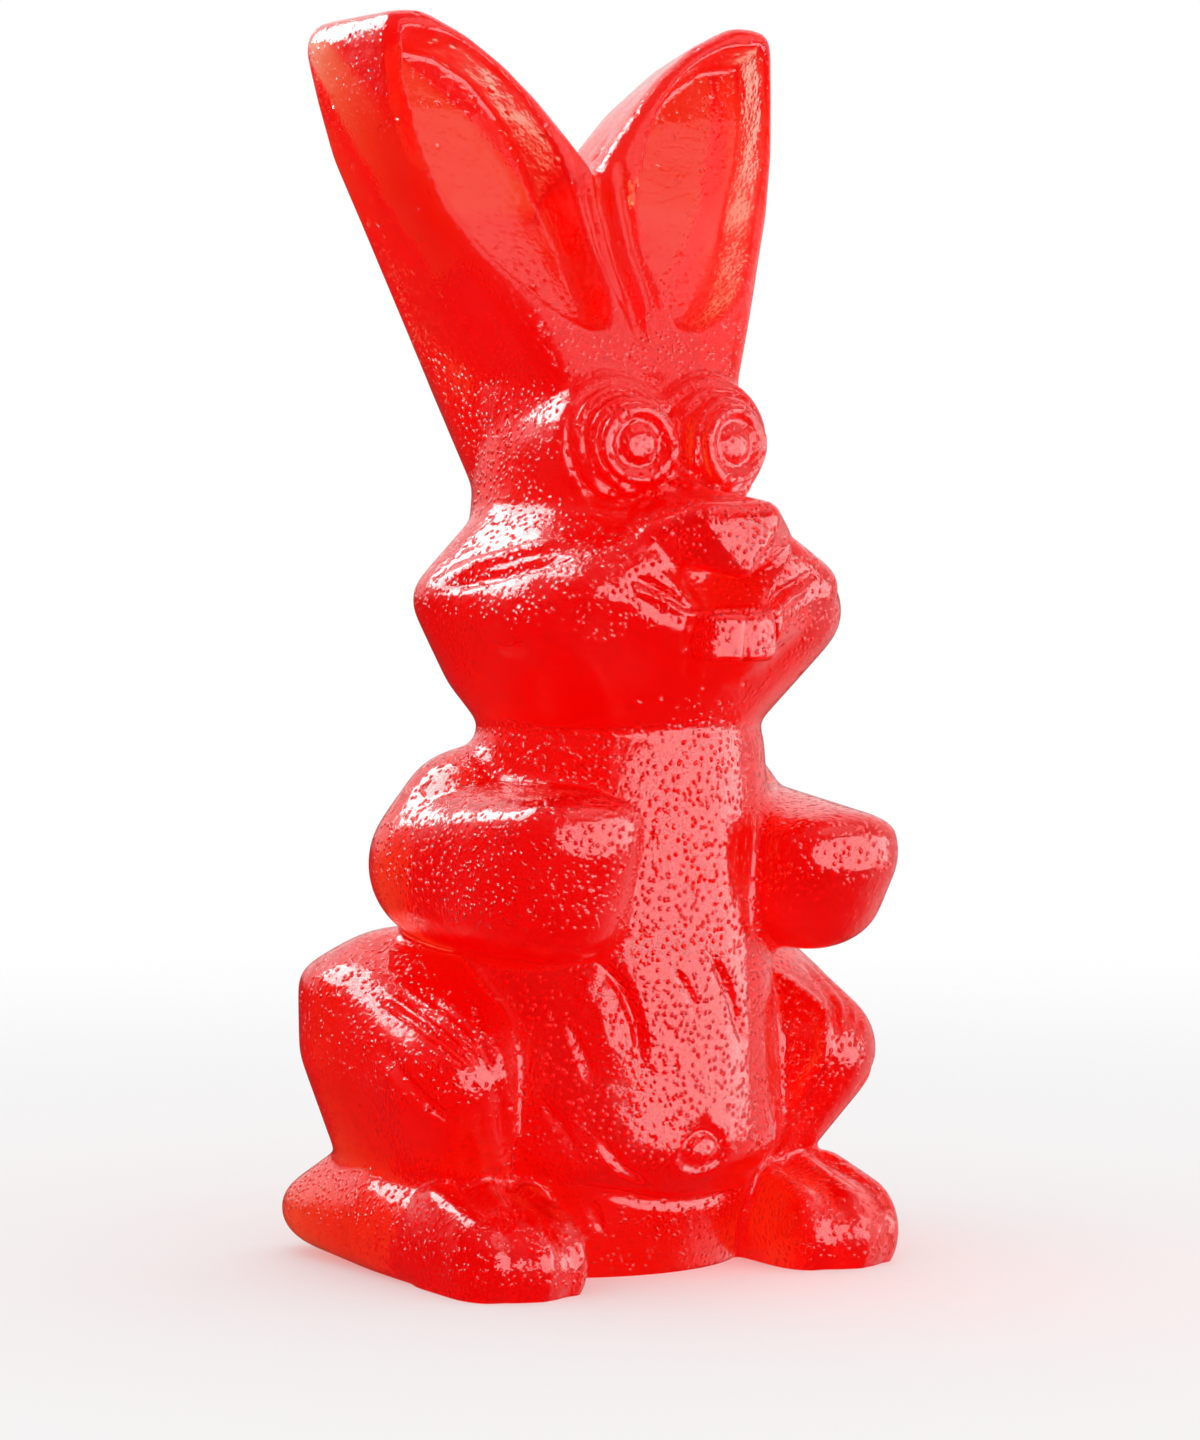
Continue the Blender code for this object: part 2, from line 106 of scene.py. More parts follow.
def lump(balls):
    """The convex hull of some balls, as a closed mesh."""
    bm = bmesh.new()
    for one in balls:
        for point in ball(*one):
            bm.verts.new(point)
    bmesh.ops.convex_hull(bm, input=bm.verts[:])
    inside = [v for v in bm.verts if not v.link_faces]
    bmesh.ops.delete(bm, geom=inside, context="VERTS")
    bmesh.ops.recalc_face_normals(bm, faces=bm.faces[:])
    return bm


def mirrored(balls):
    """The same balls on the bunny's other side."""
    flipped = []
    for centre, radii, *turn in balls:
        x, y, z = centre
        tilt, roll, yaw = turn[0] if turn else (0, 0, 0)
        flipped.append(((-x, y, z), radii, (tilt, -roll, -yaw)))
    return flipped


def mirror_if(flip, balls):
    return mirrored(balls) if flip else balls


def pair(balls):
    """A lump on the left and its mirror image on the right."""
    return [lump(balls), lump(mirrored(balls))]


def chain(balls):
    """Lumps between each ball and the next."""
    return [lump(two) for two in zip(balls, balls[1:])]


def bezier(p0, p1, p2, p3, count):
    """Points along a cubic curve, ends included."""
    points = []
    for i in range(count):
        t = i / (count - 1)
        u = 1 - t
        a, b, c, d = u * u * u, 3 * u * u * t, 3 * u * t * t, t * t * t
        points.append(tuple(a * w + b * x + c * y + d * z for w, x, y, z in zip(p0, p1, p2, p3)))
    return points


print("points on one ball:", len(ball((0, 0, 0), 1)))


# %% [markdown]
# ## Body, head and face
#
# The trunk is a stout column, a little wider at the belly, and stands on a flat seat. The head
# is a wide, low form: full cheeks that jut out over the neck, with a muzzle in front. The brows
# melt into it. Eyes, nose and teeth go on the crisp pile, because their edges stay sharper.


# %% Trunk and head
def torso():
    seat = lump([((0, 1, 0), (21.5, 17, 9)), ((0, -1, 17), (23.5, 22, 8))])
    belly = ((0, -3, 19), (24.5, 24.5, 10))
    waist = ((0, -4, 40), (23, 22.5, 12))
    chest = ((0, -5, 62), (22, 21.5, 10))
    neck = ((0, -5, NECK_Z), (21, 20.5, 5))
    return [seat] + chain([belly, waist, chest, neck])


def head():
    neck = ((0, -5, NECK_Z + 2.5), (20.5, 20.5, 3.5))
    throat = ((0, -4, NECK_Z + 8.5), (24.5, 24.5, 5))
    cheek = ((19.5, 0, CHEEK_Z), (9.5, 12, 7))
    jowl = ((16, -17, CHEEK_Z - 1.5), (11.5, 13, 9))
    skull = lump([((0, -1, 118), (17.5, 21, 8)), ((0, -3, 100), (20, 23, 8)), neck])
    cheeks = pair([cheek, jowl, ((0, -3, CHEEK_Z), (20, 20, 11)), throat, neck])
    temples = pair([cheek, jowl, ((3, -3, 108), (15, 18, 6))])
    muzzle = pair([((18.3, -27, 97.4), 4), ((11.3, -28.8, 102), 3.5),
                   ((9, -29.3, 97), 4), ((12, -18, 96), (13, 13, 9))])
    jaw = pair([((6, -31.8, 92.5), 3.5), ((14, -26, 93.5), 3.5),
                ((12, -18, 96), (13, 13, 9)), ((0, -7, NECK_Z + 6), (18, 18, 5))])
    return [skull, *cheeks, *temples, *muzzle, *jaw]


soft_lumps = torso() + head()
print("lumps in trunk and head:", len(soft_lumps))


# %% Brows, eyes, nose and teeth
def brows():
    x, y, z = EYE
    return pair([((x, y + 7, z + 0.5), (BROW_R, 4.5, BROW_R - 0.5)),
                 ((x, y + 18, z - 2), (BROW_R, 5, BROW_R + 2))])


def eyes():
    """Each eye is a thick disc that looks a little outwards, with a rim round its dish."""
    x, y, z = EYE
    return pair([((x, y + 0.7, z), (EYE_R, 0.7, EYE_R), (0, 0, EYE_TURN)),
                 ((x - 0.6, y + 8, z), (EYE_R, 2, EYE_R), (0, 0, EYE_TURN))])


def nose():
    half = [((10.2, -29.6, NOSE_Z - 0.8), 2.4), ((4.8, -34.8, NOSE_Z + 1.8), 2.6)]
    middle = [((0, -36, 101.2), 2.4), ((0, -21, NOSE_Z + 1.5), (8, 6, 5))]
    return [lump(half + mirrored(half) + middle)]


def teeth():
    return pair([((3.6, -35.6, 93.2), (2.4, 2.4, 2)),
                 ((1.2, -36.2, 93.2), (2.4, 2.4, 2)),
                 ((4.5, -36.6, 88.2), (1.6, 1.0, 0.7)),
                 ((1.3, -37.2, 88.2), (1.6, 1.0, 0.7)),
                 ((2, -27, 91), 3)])


soft_lumps += brows()
crisp_lumps = eyes() + nose() + teeth()
print("crisp lumps in the face:", len(crisp_lumps))


# %% [markdown]
# ## Ears
#
# The ears grow out of one broad crown and part in a V. Each is a thick slab with a rounded rim,
# and in its front is a leaf-shaped hollow. Balls run down the slab's front and back edges, so
# the outline can be read straight from rows of numbers: for each height, how far out and how
# far back an edge lies.


# %% Outline of the ears
EAR_EDGE_R = 2.5            # rounding of the ears' front edges
CROWN_BACK_Z = 147.0        # height of the crown's back, where the ears part
EAR_THICKNESS = 18.0        # front to back beside the notch
EAR_BACK_R = 4.0            # rounding of their back edges
LEFT_BACK_DROP = 4.0        # the back of the left ear ends this much lower than the right one's
DROP_FROM_Z = 165.0         # only balls above this height are lowered for it
EAR_BEND_Z = 151.0          # the ears' faces lean back up to here and stand nearly upright above
EAR_TIP_Z = 176.2           # middle of the rounding at the ears' tips
EAR_HEIGHTS = (126.5, 137, 144, EAR_BEND_Z, 160, 168, EAR_TIP_Z)
EAR_HALF_WIDTHS = (13, 17.5, 22.5, 26.5, 28.7, 29.8, 30.4)
EAR_FACE_Y = (-12, -8.2, -3, 1, 3, 4.8, 5.6)
EAR_BACK_HALF_WIDTHS = (12, 16.5, 20.5, 23.6, 27, 28.4, 28.9)
EAR_BACK_Y = (20, 20.3, 20, 20.5, 22.3, 24.3, 26.5)
HOLLOW_DEPTH = 5.0          # of the ears' hollows, below their rims
HOLLOW_INSET = 2.0          # how far the hollows' sides slope in
HOLLOW_MIDDLE = (16.0, 154.0)   # x and z of the middle of a hollow

print("ears part at", CROWN_BACK_Z, "mm and end at", EAR_TIP_Z + EAR_EDGE_R, "mm")


# %% Crown and ears
def ear_edges():
    """Balls down the front and back outer edges of the ear on the bunny's left."""
    front = [((x, y, z), EAR_EDGE_R)
             for x, y, z in zip(EAR_HALF_WIDTHS, EAR_FACE_Y, EAR_HEIGHTS)]
    back = [((x, y, min(z, EAR_TIP_Z - 1.5)), EAR_BACK_R)
            for x, y, z in zip(EAR_BACK_HALF_WIDTHS, EAR_BACK_Y, EAR_HEIGHTS)]
    return front, back


def upper_ear(flip, back_drop):
    """One ear above the bend of its face; back_drop lowers its back against its front."""
    front, back = ear_edges()
    front = [b for b in front if b[0][2] >= EAR_BEND_Z]
    back = [((x, y, z - back_drop * (z > DROP_FROM_Z)), r)
            for (x, y, z), r in back if z >= EAR_BEND_Z]
    inner = bezier((2.2, 1.6, 155), (9, 3, 163.5), (15.5, 5.2, 172.5),
                   (27, 5.6, EAR_TIP_Z + 0.3), 6)
    inner_front = [(p, EAR_EDGE_R) for p in inner]
    inner_back = [((x + 3, y + EAR_THICKNESS, z - 3 - 0.7 * back_drop), EAR_BACK_R)
                  for x, y, z in inner[:-1]]
    root = [((2.5, 0, EAR_BEND_Z), EAR_EDGE_R),
            ((3, EAR_THICKNESS, CROWN_BACK_Z - 2), EAR_BACK_R)]
    return lump(mirror_if(flip, front + back + inner_front + inner_back + root))


def ears():
    front, back = ear_edges()
    low = [b for b in front + back if b[0][2] < EAR_BEND_Z]
    crown = lump(low + mirrored(low))
    parting = pair([front[2], front[3], back[2], back[3],
                    ((2.5, 0, EAR_BEND_Z), EAR_EDGE_R),
                    ((0, EAR_FACE_Y[2], EAR_HEIGHTS[2]), EAR_EDGE_R),
                    ((3, EAR_THICKNESS, CROWN_BACK_Z - 2), EAR_BACK_R),
                    ((0, EAR_THICKNESS, EAR_HEIGHTS[1]), EAR_BACK_R)])
    nape = lump([back[0], back[1], ((0, -1, 106), (15, 19, 6))] + mirrored(back[:2]))
    temples = pair([front[0], back[0],
                    ((13.2, 3, 124.5), (3.8, 9, 4)), ((9, 0, 113), (8, 17, 6))])
    right_ear = upper_ear(True, 0)
    left_ear = upper_ear(False, LEFT_BACK_DROP)
    return [crown, nape, *parting, *temples, right_ear, left_ear]


soft_lumps += ears()
print("soft lumps with the ears:", len(soft_lumps))


# %% [markdown]
# ## Arms, legs, toes and tail
#
# The limbs are short and stubby, as the hot jelly can only flow into a wide mould: a forearm
# held straight out with a round paw, a haunch like a drumstick, and long feet with three toes.
# The tail at the back is a low knob. Left and right mirror each other, but for the paws: the
# right one is held a little higher, which keeps the bunny from looking stamped out.


# %% Limbs
LEFT_PAW = (21.8, 60.2)     # x and z of the paw's middle
RIGHT_PAW = (20.9, 64.2)
TOES = ((20.3, -19.5), (26.5, -21.5), (32.7, -19))      # x and y of each toe's middle


def arm(flip, paw_x, paw_z):
    """An upper arm and a forearm, whose blunt paw leans back from its top down."""
    shoulder = ((18, 2, 66.5), (12, 12, 8.5))
    elbow = ((22.3, 3, 58), (12.5, 13, 12))
    paw_top = ((paw_x, -28.2, paw_z + 1.7), (10, 6, 4))
    paw_front = ((paw_x, -28.4, paw_z - 1.7), (10, 6, 4))
    pad = ((21.4, -22.5, 53.1), (11, 8.5, 7.5))
    return [lump(mirror_if(flip, [shoulder, elbow])),
            lump(mirror_if(flip, [elbow, paw_top, paw_front, pad]))]


def arms():
    return arm(False, *LEFT_PAW) + arm(True, *RIGHT_PAW)


def legs():
    hip = ((24, 13, 39.5), (14.5, 13.5, 9))
    rump = ((23, 12, 40.5), (18.2, 15.8, 6.5))
    haunch = ((23, 12, 31), (18, 16, 8))
    knee = ((31, -8, 29.5), (9.5, 11, 9.5))
    shin = ((23, 3, 13), (9, 14, 7))
    hock = ((24.5, 14, 13), (8.5, 10, 8))
    heel = ((28.5, 23.5, 6.5), (9.5, 11.5, 6.5))
    instep = ((26.4, 17, 11), (8.2, 10, 7.2))
    sole = ((28.5, 6, 8), (9.5, 10, 8.8))
    toes = ((26.5, -19, 4), (9.5, 10, 8))
    return pair([hip, rump, haunch, knee, shin, hock]) + pair([heel, instep, sole, toes])


def toes():
    made = []
    for x, y in TOES:
        made += pair([((x, y, 4.5), (3.8, 8, 7.6)), ((x, y + 9, 6), (3.8, 8, 8.6))])
    return made


def tail():
    return [lump([((0, 19, 15), (9, 8, 8.5)), ((0, 12, 14), (10, 8, 9))])]


soft_lumps += arms() + legs() + tail()
crisp_lumps += toes()
print("all lumps:", len(soft_lumps), "soft and", len(crisp_lumps), "crisp")


# %% [markdown]
# ## Melting the lumps into one skin
#
# A mould has no inner walls, so the lumps have to become one closed skin. A voxel remesh does
# that: it keeps only the outside of all the lumps together. A smooth modifier then rounds the
# inner corners, as jelly flows. Smoothing works point by point, so a grid twice as fine needs
# four times the passes for the same rounding, and `passes_for` works that out.


# %% Fuse, soften and cut
def passes_for(coarse_passes):
    return round(coarse_passes * (COARSE / FINE) ** 2)


def joined(name, lumps):
    """Lumps gathered into one object; their surfaces still pass through each other."""
    gathered = bmesh.new()
    for bm in lumps:
        piece = bpy.data.meshes.new("lump")
        bm.to_mesh(piece)
        bm.free()
        gathered.from_mesh(piece)
        bpy.data.meshes.remove(piece)
    mesh = bpy.data.meshes.new(name)
    gathered.to_mesh(mesh)
    gathered.free()
    thing = bpy.data.objects.new(name, mesh)
    bpy.context.scene.collection.objects.link(thing)
    return thing


def apply_modifiers(thing):
    """Turn an object's evaluated shape into its own mesh."""
    graph = bpy.context.evaluated_depsgraph_get()
    mesh = bpy.data.meshes.new_from_object(thing.evaluated_get(graph))
    thing.modifiers.clear()
    thing.data = mesh


def fuse(thing, passes):
    """One closed skin round everything in the object, its corners softened."""
    skin = thing.modifiers.new("fuse", "REMESH")
    skin.mode = "VOXEL"
    skin.voxel_size = FINE * MM
    soft = thing.modifiers.new("soften", "SMOOTH")
    soft.factor = 0.5
    soft.iterations = passes_for(passes)
    apply_modifiers(thing)


def add_crisp(thing, lumps):
    """Join smaller forms to the softened ones and fuse them with a much smaller rounding."""
    extra = joined("crisp", lumps)
    both = bmesh.new()
    both.from_mesh(thing.data)
    both.from_mesh(extra.data)
    both.to_mesh(thing.data)
    both.free()
    bpy.data.objects.remove(extra)
    fuse(thing, CRISP_SOFTEN)


def cut(thing, cutters):
    for cutter in cutters:
        bite = thing.modifiers.new("cut", "BOOLEAN")
        bite.operation = "DIFFERENCE"
        bite.solver = "EXACT"
        bite.object = cutter
    apply_modifiers(thing)
    for cutter in cutters:
        bpy.data.objects.remove(cutter)


print("smoothing passes on this grid:", passes_for(SOFTEN), "soft and",
      passes_for(CRISP_SOFTEN), "crisp")


# %% [markdown]
# ## Hollows of the ears
#
# In front each ear is scooped out like a leaf, down to a floor that follows the ear's face. A
# groove pressed into the points would blur here, so a block is cut out: it is one more lump,
# with small balls round the leaf, wide in front of the ear and narrower at the floor.


# %% The hollow of an ear
LEAF_R = 0.6                # of the small balls round the leaf
LEAF_FRONT = 2.0            # how far the block stands out in front of the ear
LEAF_SPLAY = 0.4            # how much wider it is there, as a share of the inset


def ear_hollow(flip):
    """A leaf with sloping sides, deep enough to leave the ear's rim round a sunken floor."""
    outer = bezier((9, -8, 134.5), (20, -6, 138), (31.5, 1, 158), (30, 5, 175.8), 8)
    inner = bezier((30, 5, 175.8), (14, 5.5, 177), (2, 1, 157), (6.2, -8, 134.6), 8)
    balls = []
    for x, y, z in outer + inner:
        to_x, to_z = HOLLOW_MIDDLE[0] - x, HOLLOW_MIDDLE[1] - z
        reach = math.hypot(to_x, to_z)
        inset_x, inset_z = to_x / reach * HOLLOW_INSET, to_z / reach * HOLLOW_INSET
        face = float(np.interp(z, EAR_HEIGHTS, EAR_FACE_Y)) - EAR_EDGE_R
        balls.append(((x + inset_x, face + HOLLOW_DEPTH, z + inset_z - 1), LEAF_R))
        balls.append(((x - LEAF_SPLAY * inset_x, face - LEAF_FRONT, z - LEAF_SPLAY * inset_z),
                      LEAF_R))
    return joined("hollow", [lump(mirror_if(flip, balls))])


print("hollows, in mm:", HOLLOW_DEPTH, "deep; their sides slope in by", HOLLOW_INSET)

# %% Build the plain skin
bunny = joined("bunny", soft_lumps)
fuse(bunny, SOFTEN)
add_crisp(bunny, crisp_lumps)
cut(bunny, [ear_hollow(False), ear_hollow(True)])
fuse(bunny, CRISP_SOFTEN)
print("points in the skin:", len(bunny.data.vertices))


# %% [markdown]
# ## Drawing lines into the skin
#
# The mould maker cut fine lines: folds of fur, lids, the mouth, the navel. They are too small
# for lumps and too real for a bump in the material, since they show in the outline. So they are
# pressed into the points themselves. A stroke is a path on the skin, and every point near it
# sinks along its own normal, less and less with its distance.


# %% A tool for strokes, rings and dots
END_DEPTH = 0.25            # share of a stroke's depth that is left at its two ends
END_SLOPE = 4.0             # how fast it gets deeper, against its length
RING_STEPS = 24


class Skin:
    """The points of a mesh, moved along their normals by strokes and rings."""

    def __init__(self, mesh):
        self.mesh = mesh
        count = len(mesh.vertices)
        self.points = np.empty(count * 3, np.float32)
        mesh.vertices.foreach_get("co", self.points)
        self.points = self.points.reshape(count, 3)
        self.normals = np.empty(count * 3, np.float32)
        mesh.vertices.foreach_get("normal", self.normals)
        self.normals = self.normals.reshape(count, 3)
        self.start = self.points.copy()
        faces = [p.vertices[:] for p in mesh.polygons]
        self.tree = BVHTree.FromPolygons(self.points.tolist(), faces)

    def on_skin(self, place):
        return self.tree.find_nearest(place)[0]

    def line(self, places):
        """Close points along a path, each on the nearest skin."""
        dots = []
        for a, b in zip(places, places[1:]):
            a, b = Vector(a) * MM, Vector(b) * MM
            steps = max(1, round((b - a).length / (STROKE_STEP * MM)))
            dots += [self.on_skin(a.lerp(b, i / steps)) for i in range(steps)]
        dots.append(self.on_skin(Vector(places[-1]) * MM))
        return np.array(dots, np.float32)

    def push(self, dots, strengths, width, depth):
        """Sink the skin by depth along the dots (raise it if negative), fading over width."""
        low, high = dots.min(0) - width, dots.max(0) + width
        near = np.flatnonzero(((self.start > low) & (self.start < high)).all(1))
        if not len(near):
            return
        gaps = np.linalg.norm(self.start[near, None, :] - dots[None, :, :], axis=2)
        closest = gaps.argmin(1)
        fade = np.clip(1 - (gaps.min(1) / width) ** 2, 0, 1) ** 2 * strengths[closest]
        self.points[near] -= self.normals[near] * (fade * depth)[:, None]

    def stroke(self, places, width, depth):
        """A groove (or a ridge, with a negative depth) that tapers at both ends."""
        dots = self.line(places)
        along = np.linspace(0, 1, len(dots))
        taper = np.clip(np.minimum(along, 1 - along) * END_SLOPE + END_DEPTH, 0, 1)
        self.push(dots, taper, width * MM, depth * MM)

    def twin_strokes(self, places, width, depth):
        self.stroke(places, width, depth)
        self.stroke([(-x, y, z) for x, y, z in places], width, depth)

    def ring(self, centre, radius, width, depth, turn=0.0):
        """A round groove about a point, facing the front and turned outwards by degrees."""
        side = math.copysign(math.radians(turn), centre[0])
        places = []
        for i in range(RING_STEPS + 1):
            angle = math.tau * i / RING_STEPS
            across = radius * math.cos(angle)
            places.append((centre[0] + across * math.cos(side),
                           centre[1] + across * math.sin(side),
                           centre[2] + radius * math.sin(angle)))
        dots = self.line(places)
        self.push(dots, np.ones(len(dots)), width * MM, depth * MM)

    def dot(self, place, width, depth):
        dots = np.array([self.on_skin(Vector(place) * MM)], np.float32)
        self.push(dots, np.ones(1), width * MM, depth * MM)

    def moved(self):
        return int((self.points != self.start).any(1).sum())

    def finish(self):
        self.mesh.vertices.foreach_set("co", self.points.ravel())
        self.mesh.update()


skin = Skin(bunny.data)
print("points to draw on:", len(skin.points))


# %% Face
def draw_face(skin):
    """Dished eyes with a bump for the pupil, lids, mouth, teeth and the folds of the cheeks."""
    for side in (1, -1):
        eye = (side * EYE[0], EYE[1], EYE[2])
        skin.ring(eye, EYE_R - 3.5, 1.3, 0.7, EYE_TURN)     # round the pupil
        skin.ring(eye, EYE_R - 1.4, 1.4, -0.4, EYE_TURN)    # rim of the dish
        skin.ring(eye, EYE_R + 0.8, 1.2, 1.3, EYE_TURN)     # between eye and brow
        skin.dot(eye, 2.8, -0.3)                            # pupil
        skin.ring((eye[0], eye[1] + 5, eye[2] + 1), BROW_R - 0.2, 1.3, 1.0)
        skin.ring((eye[0], eye[1] + 3, eye[2] + 0.6), BROW_R - 1.8, 0.9, 0.6)
    lid = [(14.6, -19, 112.5), (11, -20, 110.2), (5.5, -23, 110), (0.5, -23.5, 111.5)]
    skin.twin_strokes(lid, 1.5, -1.0)
    bridge = [(0, -25, 121.5), (0, -26, 117), (0, -27, 112.5)]
    skin.stroke(bridge, 1.8, -0.8)
    skin.stroke([(4.8, -35.5, 105), (4.4, -36.5, 102), (3, -36.5, 99.5)], 1.0, 0.6)
    # The mouth, and the lip under it.
    right_lip = [(-14.5, -33, 99.2), (-10.3, -35, 97.2), (-4.5, -36.5, 96), (0, -37.5, 95.8)]
    left_lip = [(15.5, -32, 99.6), (12.5, -34, 98), (7, -36, 96.8), (0, -37.5, 95.8)]
    skin.stroke(right_lip, 1.1, 1.3)
    skin.stroke(left_lip, 1.1, 1.3)
    skin.twin_strokes([(14.3, -33, 97.9), (10, -35, 96), (4.8, -36.5, 94.6)], 1.2, -0.7)
    # The teeth: their outer sides, the gap between them and fine upright lines.
    skin.twin_strokes([(7, -36, 94.5), (7.2, -34, 90), (6.4, -33, 87.8)], 1.1, 1.2)
    skin.stroke([(0, -37, 94.5), (0, -37, 87)], 0.9, 0.6)
    for x in (-3.6, -2.4, -1.2, 1.2, 2.4, 3.6):
        skin.stroke([(x, -38, 92.5), (1.15 * x, -38, 88.6)], 0.6, 0.22)
    # The cheeks: a ridge, the groove under it and a short fold low down.
    skin.twin_strokes([(26.5, -4, 100), (23, -14, 102.2), (17.5, -22, 103.6)], 2.0, -0.8)
    skin.twin_strokes([(28, -4, 97.5), (25.5, -15, 99.4), (20.5, -24, 101)], 1.6, 0.8)
    skin.twin_strokes([(26, -13, 89.6), (25.6, -17.5, 88.9), (25, -22, 90.3)], 1.4, 0.7)


draw_face(skin)
print("points moved for the face:", skin.moved())


# %% Folds under the notch
def draw_crown(skin):
    """Folds that run down from the notch between the ears."""
    skin.stroke([(0, 2, 157), (-0.5, -5, 146.7), (-1, -12.5, 132.6)], 1.8, 1.6)
    fold = [(3.4, 0, 157.5), (3.2, -2.5, 151), (2.8, -9, 140), (2.2, -12, 134.5)]
    skin.twin_strokes(fold, 1.3, 0.9)
    skin.stroke([(7.5, 9, 161), (5.5, 4, 154), (4.2, -6, 143)], 1.4, 0.9)


draw_crown(skin)
print("points moved so far:", skin.moved())


# %% Folds of the chest and belly
def draw_fur(skin):
    """Folds of the chest and belly, and the navel."""
    # Lines of fur, from the chest down to the seat. One is a ridge, with a negative depth.
    fold = [(-14, -21.7, 46), (-11, -23.6, 41.8), (-9.3, -24.7, 36.6), (-8.8, -25.1, 32)]
    skin.stroke(fold, 1.5, 1.3)
    skin.stroke([(-17, -20, 44), (-14, -22, 39), (-12.4, -23.4, 31.5)], 2.6, -1.0)
    skin.stroke([(2.2, -26.3, 46), (6, -25.6, 39.5), (7.8, -25.4, 34)], 1.3, 0.9)
    skin.stroke([(-3.7, -26.1, 44), (-1.6, -26.3, 40.8), (-0.6, -26.5, 38)], 1.0, 0.6)
    skin.stroke([(-17.5, -19.3, 37), (-15.8, -20.8, 32.7), (-14.7, -21.7, 29)], 1.3, 0.9)
    skin.stroke([(-20, -16.8, 25.6), (-18.3, -18.8, 22.8), (-16.6, -20.5, 19.4)], 1.2, 0.8)
    skin.stroke([(-13.8, -23.3, 20.4), (-10.8, -23.9, 16.6), (-6, -23.5, 14.2)], 1.4, 1.0)
    skin.stroke([(-13.2, -18.6, 10.9), (-12.2, -18.9, 8.5), (-11.3, -19.3, 6)], 1.2, 0.8)
    overhang = [(-14, -19, 13), (-7, -21.5, 11), (0, -22.3, 10), (7, -21.5, 10), (14, -19, 11)]
    skin.stroke(overhang, 1.8, 0.9)
    skin.ring(NAVEL, 3.2, 1.1, 1.0)
    skin.dot(NAVEL, 2.0, -0.7)


draw_fur(skin)
print("points moved so far:", skin.moved())


# %% Fur on the thighs
def draw_thighs(skin):
    """A tuft of three lines on each thigh, a groove under it and the ridge down the shin."""
    skin.twin_strokes([(39.5, -6, 34), (38.8, -13.5, 28.6), (34.6, -16.5, 24.2)], 1.5, 1.1)
    for slip in (0, 2.4, 4.8):
        skin.twin_strokes([(37 - slip, -2 - slip / 2, 39.5),
                           (35.5 - slip, -14, 35.5),
                           (31.6 - slip / 2, -19, 31)], 1.1, 0.7)
    shin = [(26, -7.5, 40), (28, -16.5, 36), (27, -18.5, 30), (22, -15, 19)]
    skin.twin_strokes(shin, 1.8, -0.9)


draw_thighs(skin)
print("points moved in all:", skin.moved())


# %% [markdown]
# ## Base
#
# A mould is filled through its open side, and the sweet stands on the flat that forms there.
# So everything below the floor is cut off, once the skin has been thinned: the remesh spends as
# many points on a smooth cheek as on an eye, and decimating takes them where nothing is lost.


# %% Press the lines in, thin the mesh and cut the flat base
def floor_block():
    """Everything below z = 0, to be cut away."""
    bm = bmesh.new()
    size = 0.2              # m
    bmesh.ops.create_cube(bm, size=size, matrix=Matrix.Translation((0, 0, -size / 2)))
    return joined("floor", [bm])


def count_triangles(thing):
    return sum(len(p.vertices) - 2 for p in thing.data.polygons)


skin.finish()
bunny.data.transform(Matrix.Translation((0, CENTRE_Y * MM, 0)))
fewer = bunny.modifiers.new("thin out", "DECIMATE")
fewer.ratio = min(1.0, MOST_TRIANGLES / count_triangles(bunny))
apply_modifiers(bunny)
cut(bunny, [floor_block()])
bunny.data.shade_smooth()
print("triangles:", count_triangles(bunny))

# %% [markdown]
# ## The jelly
#
# Gelatine set with sugar syrup is clear. It bends light like thick syrup, with an IOR of about
# 1.42, and its dye swallows green and blue while red passes. That is why a thin ear is coral and
# the thick body a deep red: the same dye, over a longer way. A red surface could only have one of
# these colours, so the dye belongs in the volume, and `Volume Absorption` puts it there. Its
# colour and density are matched to the ears, where light crosses about 15 mm of jelly: nearly
# all of the red comes through, and less than a tenth of the green.


# %% Colours and nodes
def linear(hex_colour):
    """An sRGB hex colour, such as "#FFD0C8", as the linear RGBA that shaders work in."""
    channels = [int(hex_colour[i:i + 2], 16) / 255 for i in (1, 3, 5)]
    return (*(c / 12.92 if c <= 0.04045 else ((c + 0.055) / 1.055) ** 2.4 for c in channels), 1.0)


def add(tree, kind, inputs=None, **settings):
    """Add one node. Inputs go {socket: source or value}; a setting may also name a socket."""
    node = tree.nodes.new(kind)
    for name, value in settings.items():
        if hasattr(node, name):
            setattr(node, name, value)
        else:
            node.inputs[name.replace("_", " ")].default_value = value
    for name, source in (inputs or {}).items():
        if isinstance(source, bpy.types.NodeSocket):
            tree.links.new(source, node.inputs[name])
        else:
            node.inputs[name].default_value = source
    return node


print("linear value of #FF2414:", [round(c, 3) for c in linear("#FF2414")])

# %% The dye
DYE = linear("#FE9300")     # takes all of the blue, 7/10 of the green and hardly any red
DYE_DENSITY = 225.0         # per metre
EAR_WAY = 0.015             # m of jelly that light crosses in an ear

passed = [math.exp(-DYE_DENSITY * (1 - colour) * EAR_WAY) for colour in DYE[:3]]
print("red, green and blue left behind an ear:", [round(part, 2) for part in passed])

# %% [markdown]
# ## Beads
#
# The mould was damp, or the jelly sweated when it cooled: fine round beads cover the skin, with
# a few larger bubbles that burst at the mould's wall. They are far too many to model, so they
# are a bump. 3-D Voronoi cells scatter such spots without UVs: where the skin cuts near the
# middle of a cell there is a bead, so the beads come in all sizes, as real ones do. The finest
# real ones are too fine for the render; these are as coarse as they need to be to show.

# %% Round spots in space
BEAD_SPACING = 0.95         # mm between the middles of the beads' cells
BEAD_RADIUS = 0.42          # mm
BEAD_HEIGHT = 0.28          # mm
BUBBLE_SPACING = 4.5        # mm
BUBBLE_RADIUS = 0.75        # mm
BUBBLE_DEPTH = 0.35         # mm


def per_mm(spacing):
    """The scale of a texture in metres whose features lie spacing millimetres apart."""
    return 1.0 / (spacing * MM)


